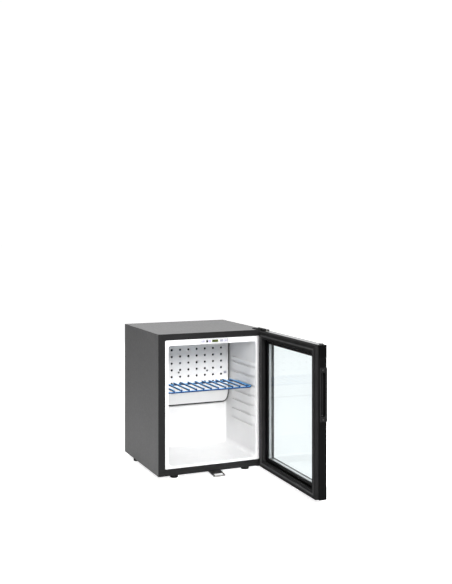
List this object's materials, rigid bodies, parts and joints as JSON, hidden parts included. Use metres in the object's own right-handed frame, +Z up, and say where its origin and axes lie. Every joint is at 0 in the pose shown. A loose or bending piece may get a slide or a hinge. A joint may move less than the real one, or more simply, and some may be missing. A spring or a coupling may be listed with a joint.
{
  "type": "minibar fridge",
  "caption": "Free-standing minibar fridge with a hinged double-glazed door standing open, white shelved interior, perforated evaporator cover and a sliding wire shelf.",
  "frame": {"origin": "on the floor, in the middle of the box round the whole fridge as it stands with its door open", "axes": "+Z up, +Y from the front to the rear, +X to the right seen from the front, where the door is hinged"},
  "size_m": [0.4054, 0.782, 0.4945],
  "materials": {
    "cabinet_coat": "satin",
    "front_black": "satin",
    "zinc_sheet": "satin",
    "liner_white": "satin",
    "foam": "matte",
    "dark_plastic": "matte",
    "fascia_white": "gloss",
    "window_clear": "gloss",
    "display_lit": "gloss",
    "lamp_lilac": "gloss",
    "key_grey": "satin",
    "board_green": "satin",
    "lens_frost": "satin",
    "fin_aluminium": "satin",
    "screw_steel": "satin",
    "clip_grey": "satin",
    "shelf_blue": "gloss",
    "foot_rubber": "matte",
    "strike_steel": "satin",
    "hinge_black": "satin",
    "pin_steel": "polished",
    "unit_black": "satin",
    "casing_zinc": "satin",
    "door_black": "satin",
    "pane_clear": "gloss",
    "spacer_aluminium": "satin",
    "gasket_grey": "matte",
    "magnet_dark": "matte",
    "bush_white": "satin",
    "lock_chrome": "polished"
  },
  "bodies": {
    "cabinet": {"side_panel_left": "cabinet_coat", "side_panel_right": "cabinet_coat", "top_panel": "cabinet_coat", "base_pan": "zinc_sheet", "rear_panel": "zinc_sheet", "front_frame": "front_black", "inner_liner": "liner_white", "shelf_ledges": "liner_white", "cover_seal": "foot_rubber", "control_box": "dark_plastic", "insulation_foam": "foam", "control_fascia": "fascia_white", "display_window": "window_clear", "display_module": "display_lit", "indicator_lights": "lamp_lilac", "sensor_eye": "dark_plastic", "control_board": "board_green", "light_lens": "lens_frost", "evaporator_cover": "liner_white", "evaporator": "fin_aluminium", "sensor_clip": "clip_grey", "cover_screws": "screw_steel", "foot_front_left": "foot_rubber", "foot_front_right": "foot_rubber", "foot_rear_left": "foot_rubber", "foot_rear_right": "foot_rubber", "foot_screws": "screw_steel", "lock_strike": "strike_steel", "top_hinge_bracket": "hinge_black", "bottom_hinge_bracket": "hinge_black", "hinge_pins": "pin_steel", "bracket_screws": "screw_steel", "boiler_casing": "casing_zinc", "absorber_vessel": "unit_black", "absorber_coil": "unit_black", "condenser_tube": "unit_black", "condenser_fins": "fin_aluminium", "rear_crossbars": "zinc_sheet", "terminal_box": "dark_plastic", "cord_gland": "dark_plastic"},
    "door": {"door_top_rail": "door_black", "door_bottom_rail": "door_black", "door_hinge_stile": "door_black", "door_handle_stile": "door_black", "outer_glass": "pane_clear", "inner_glass": "pane_clear", "glazing_spacer": "spacer_aluminium", "door_gasket": "gasket_grey", "gasket_magnets": "magnet_dark", "handle_insert": "dark_plastic", "handle_screws": "screw_steel", "hinge_bushes": "bush_white", "hole_plugs": "dark_plastic", "lock_barrel": "lock_chrome"},
    "shelf": {"wire_shelf": "shelf_blue"},
    "lock": {"lock_plug": "lock_chrome", "lock_cam": "strike_steel"},
    "power_key": {"button_power": "key_grey"},
    "minus_key": {"button_minus": "key_grey"},
    "plus_key": {"button_plus": "key_grey"}
  },
  "joints": [
    {"name": "door_hinge", "type": "hinge", "parent": "cabinet", "child": "door", "pos_m": [0.18933, 0.00204, 0.25], "axis": [0, 0, 1], "range_deg": [-88, 32]},
    {"name": "shelf_slide", "type": "slide", "parent": "cabinet", "child": "shelf", "axis": [0, -1, 0], "range_m": [0, 0.09]},
    {"name": "lock_turn", "type": "hinge", "parent": "door", "child": "lock", "pos_m": [0.18266, -0.18885, 0.037], "axis": [-0.9994, 0.0349, 0], "range_deg": [0, 90]},
    {"name": "power_key_press", "type": "slide", "parent": "cabinet", "child": "power_key", "axis": [0, 1, 0], "range_m": [0, 0.0008], "stiffness_N_per_m": 300},
    {"name": "minus_key_press", "type": "slide", "parent": "cabinet", "child": "minus_key", "axis": [0, 1, 0], "range_m": [0, 0.0008], "stiffness_N_per_m": 300},
    {"name": "plus_key_press", "type": "slide", "parent": "cabinet", "child": "plus_key", "axis": [0, 1, 0], "range_m": [0, 0.0008], "stiffness_N_per_m": 300}
  ]
}
